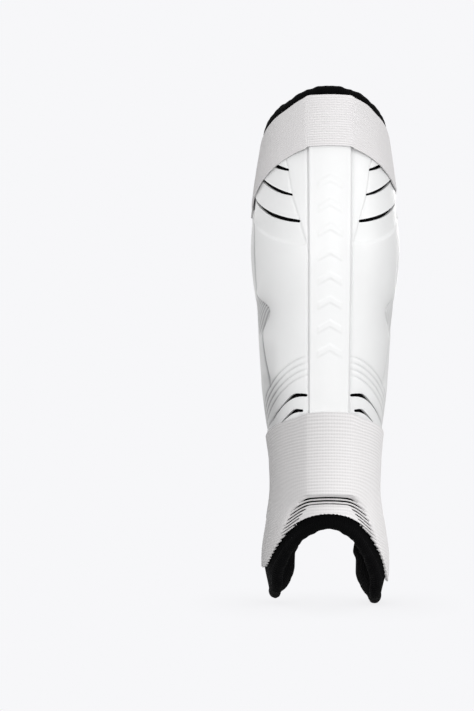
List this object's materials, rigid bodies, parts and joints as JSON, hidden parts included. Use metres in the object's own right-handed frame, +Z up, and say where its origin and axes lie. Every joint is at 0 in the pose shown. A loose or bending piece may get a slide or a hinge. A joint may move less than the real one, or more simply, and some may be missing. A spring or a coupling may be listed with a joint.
{
  "type": "field hockey shin guard",
  "caption": "White ribbed hard-shell shin guard over a black padded liner with ankle lobes, held by an upper and a lower elastic band that open at the back.",
  "frame": {"origin": "on the leg's axis, level with the bottom of the ankle lobes", "axes": "+Z up the shin, -Y out of the front of the shin, +X towards the inner side of the leg"},
  "size_m": [0.1051, 0.1291, 0.3544],
  "materials": {
    "shell": "satin white moulded plastic",
    "liner_fabric": "black knitted fabric",
    "foam": "dark soft foam",
    "pad": "fabric covered pad",
    "elastic": "white ribbed elastic",
    "hook_loop": "white hook and loop",
    "trim": "folded white webbing"
  },
  "bodies": {
    "guard": {"outer_shell": "shell", "liner_face_fabric": "liner_fabric", "liner_foam": "foam", "liner_lining": "liner_fabric", "liner_binding": "liner_fabric", "ankle_pad_inner": "pad", "ankle_pad_outer": "pad", "upper_front_band": "elastic", "upper_anchor_patch": "hook_loop", "upper_anchor_strap": "elastic", "upper_loop_patch": "hook_loop", "lower_front_band": "elastic", "lower_anchor_patch": "hook_loop", "lower_anchor_strap": "elastic", "lower_loop_patch": "hook_loop"},
    "upper_back": {"upper_rear_strap": "elastic"},
    "upper_flap": {"upper_tab": "elastic", "upper_hook_patch": "hook_loop", "upper_grip": "trim"},
    "lower_back": {"lower_rear_strap": "elastic"},
    "lower_flap": {"lower_tab": "elastic", "lower_hook_patch": "hook_loop", "lower_grip": "trim"}
  },
  "joints": [
    {"name": "upper_strap_open", "type": "hinge", "parent": "guard", "child": "upper_back", "pos_m": [0.0398, 0.041, 0.286], "axis": [0, 0, -1], "range_deg": [0, 90]},
    {"name": "upper_tab_peel", "type": "hinge", "parent": "upper_back", "child": "upper_flap", "pos_m": [-0.0253, 0.0554, 0.282], "axis": [0, 0, -1], "range_deg": [0, 110]},
    {"name": "lower_strap_open", "type": "hinge", "parent": "guard", "child": "lower_back", "pos_m": [0.0336, 0.031, 0.077], "axis": [0, 0, -1], "range_deg": [0, 90]},
    {"name": "lower_tab_peel", "type": "hinge", "parent": "lower_back", "child": "lower_flap", "pos_m": [-0.0228, 0.0432, 0.077], "axis": [0, 0, -1], "range_deg": [0, 110]}
  ]
}
